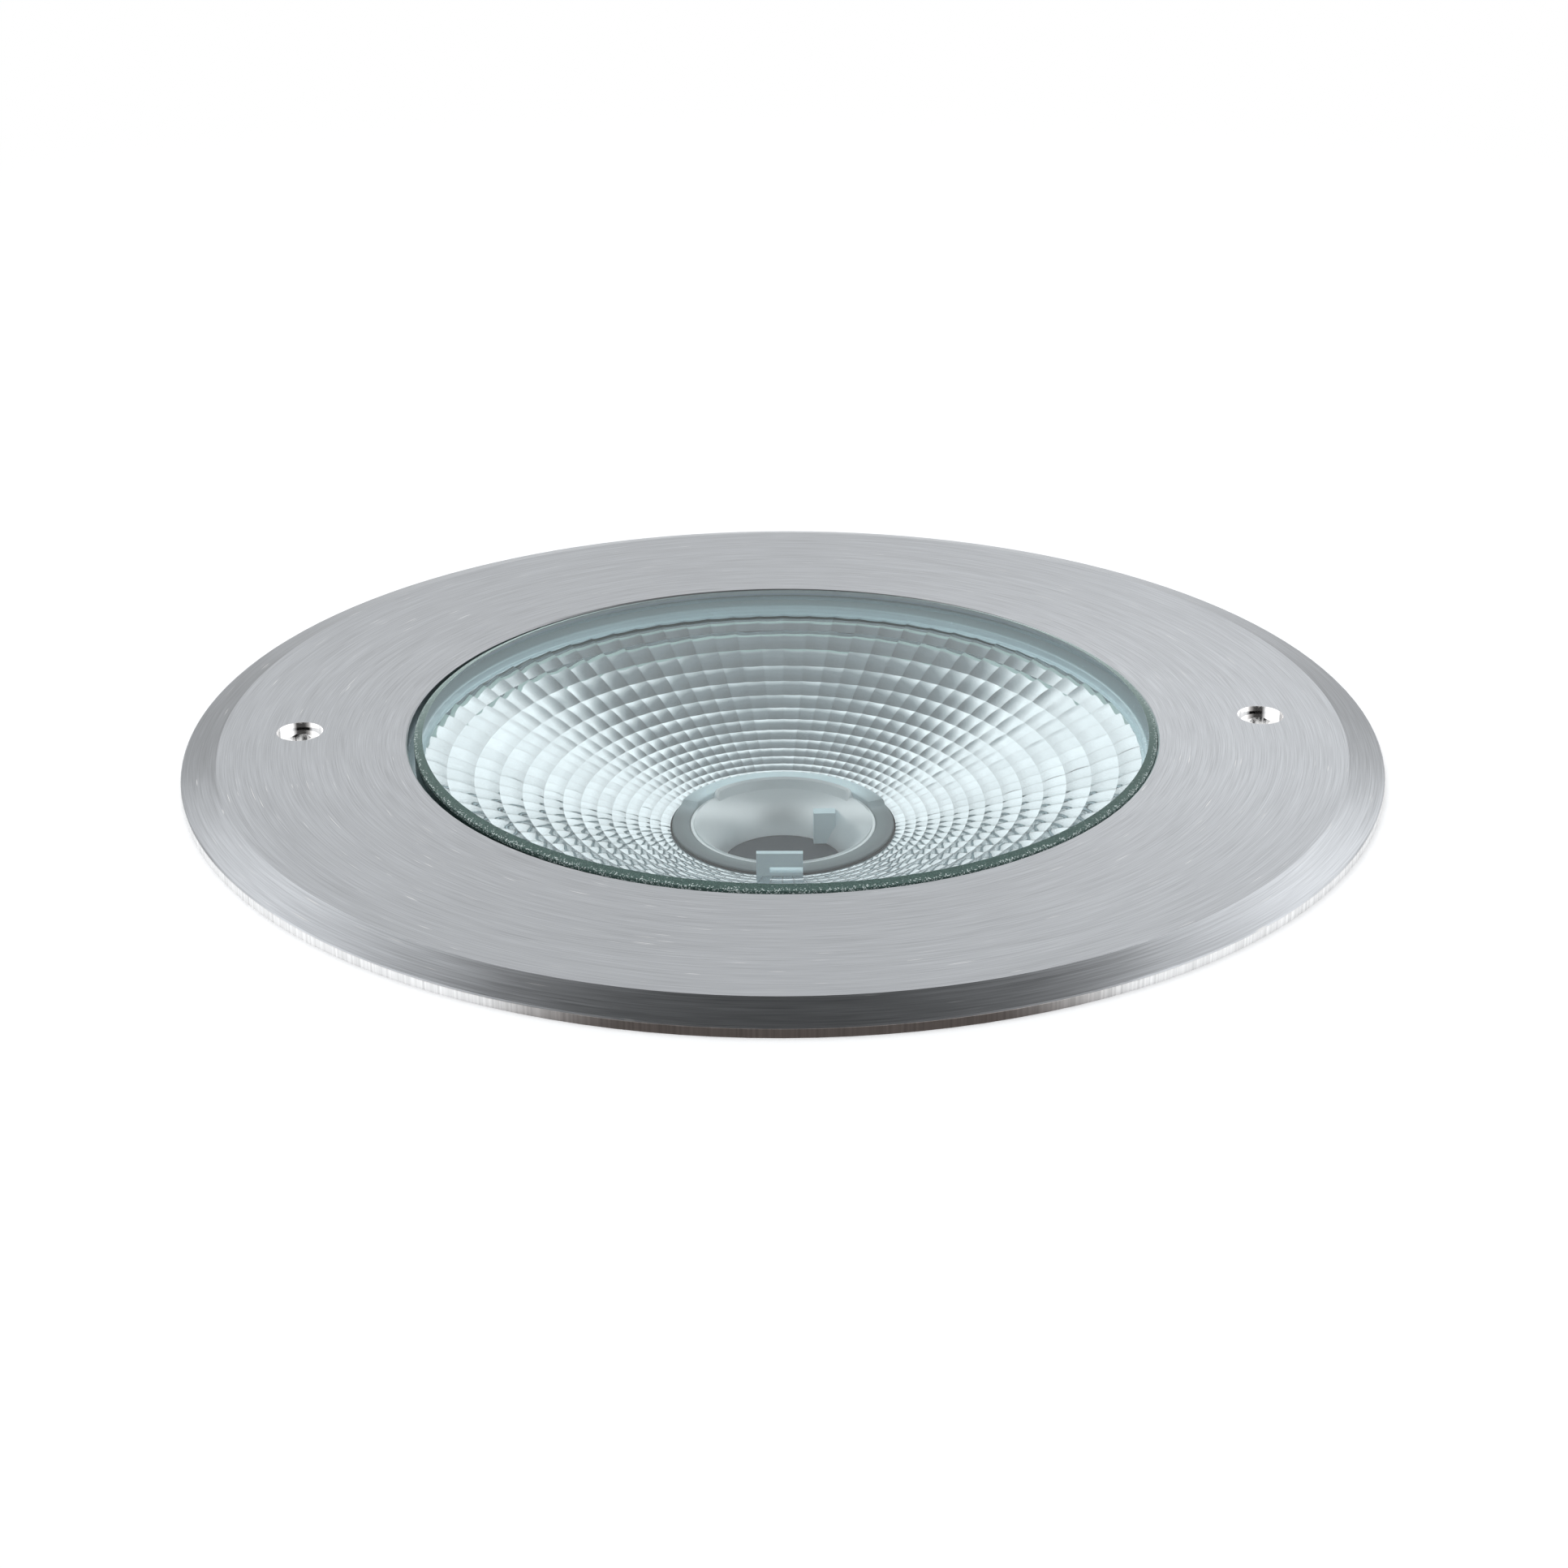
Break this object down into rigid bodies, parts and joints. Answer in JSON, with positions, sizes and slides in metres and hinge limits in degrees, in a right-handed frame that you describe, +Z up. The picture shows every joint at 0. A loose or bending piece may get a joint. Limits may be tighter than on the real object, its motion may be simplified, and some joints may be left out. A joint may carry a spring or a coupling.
{
  "type": "in-ground well light",
  "caption": "Round recessed ground light: brushed steel trim ring with cap screws, flush glass, faceted reflector, finned sealed housing in a plastic ground sleeve.",
  "frame": {"origin": "centre of the trim ring's underside, which lies level with the finished ground", "axes": "+Z up along the lamp's axis, +X towards the right cover screw, -Y towards the viewer of the picture, where the latch clip is"},
  "size_m": [0.26, 0.26, 0.1351],
  "materials": {
    "brushed_stainless": "stainless steel, fine concentric brushing",
    "clear_glass": "clear toughened glass with a ground margin",
    "reflector_mirror": "bright metallised facets",
    "frosted_plastic": "translucent frosted grey-white",
    "satin_aluminium": "satin silver",
    "lens_diffuser": "frosted diffuser, unlit",
    "phosphor": "yellow silicone, unlit",
    "ceramic": "white ceramic plate",
    "thermal_pad_grey": "soft grey pad",
    "white_plastic": "white moulded plastic",
    "plain_aluminium": "milled aluminium",
    "cast_aluminium": "die-cast aluminium, black powder coat",
    "stud_steel": "plain stainless",
    "screw_steel": "plain stainless",
    "polished_screw": "polished stainless",
    "lead_insulation": "silicone wire insulation",
    "driver_plastic": "black moulded case",
    "gland_plastic": "black glass-filled nylon",
    "sleeve_plastic": "black glass-filled plastic",
    "brass": "turned and knurled brass",
    "seal_rubber": "black silicone or EPDM"
  },
  "bodies": {
    "sleeve": {"mounting_sleeve": "sleeve_plastic", "screw_inserts": "brass", "rim_gasket": "seal_rubber", "inlet_grommet": "seal_rubber", "blank_plug": "sleeve_plastic"},
    "lamp_insert": {"lamp_housing": "cast_aluminium", "trim_ring": "brushed_stainless", "ring_studs": "stud_steel", "stud_nuts": "stud_steel", "stud_washers": "stud_steel", "cover_glass": "clear_glass", "upper_glass_gasket": "seal_rubber", "lower_glass_gasket": "seal_rubber", "reflector": "reflector_mirror", "holder_ring": "frosted_plastic", "mixing_cup": "satin_aluminium", "latch_clip": "frosted_plastic", "wire_guide": "frosted_plastic", "led_lens": "lens_diffuser", "led_phosphor": "phosphor", "led_substrate": "ceramic", "thermal_pad": "thermal_pad_grey", "led_frame": "white_plastic", "heat_spreader": "plain_aluminium", "spreader_screws": "screw_steel", "led_leads": "lead_insulation", "driver_case": "driver_plastic", "driver_screws": "screw_steel", "terminal_block": "white_plastic", "terminal_screws": "screw_steel", "gland_body": "gland_plastic", "gland_gasket": "seal_rubber", "gland_seal": "seal_rubber", "gland_nut": "gland_plastic", "gland_locknut": "gland_plastic", "vent_plug": "gland_plastic"},
    "left_seal": {"left_screw_seal": "seal_rubber"},
    "left_screw": {"left_cover_screw": "polished_screw", "left_screw_retainer": "white_plastic"},
    "right_seal": {"right_screw_seal": "seal_rubber"},
    "right_screw": {"right_cover_screw": "polished_screw", "right_screw_retainer": "white_plastic"}
  },
  "joints": [
    {"name": "insert_lift", "type": "slide", "parent": "sleeve", "child": "lamp_insert", "axis": [0, 0, 1], "range_m": [0, 0.1]},
    {"name": "left_screw_rise", "type": "slide", "parent": "lamp_insert", "child": "left_seal", "axis": [0, 0, 1], "range_m": [0, 0.0112]},
    {"name": "left_screw_turn", "type": "hinge", "parent": "left_seal", "child": "left_screw", "pos_m": [-0.1054, 0, 0.0028], "axis": [0, 0, 1], "range_deg": [0, 5041]},
    {"name": "right_screw_rise", "type": "slide", "parent": "lamp_insert", "child": "right_seal", "axis": [0, 0, 1], "range_m": [0, 0.0112]},
    {"name": "right_screw_turn", "type": "hinge", "parent": "right_seal", "child": "right_screw", "pos_m": [0.1054, 0, 0.0028], "axis": [0, 0, 1], "range_deg": [0, 5041]}
  ],
  "couplings": [
    {"joint": "left_screw_turn", "follows": "left_screw_rise", "rad_per_m": 7854},
    {"joint": "right_screw_turn", "follows": "right_screw_rise", "rad_per_m": 7854}
  ]
}
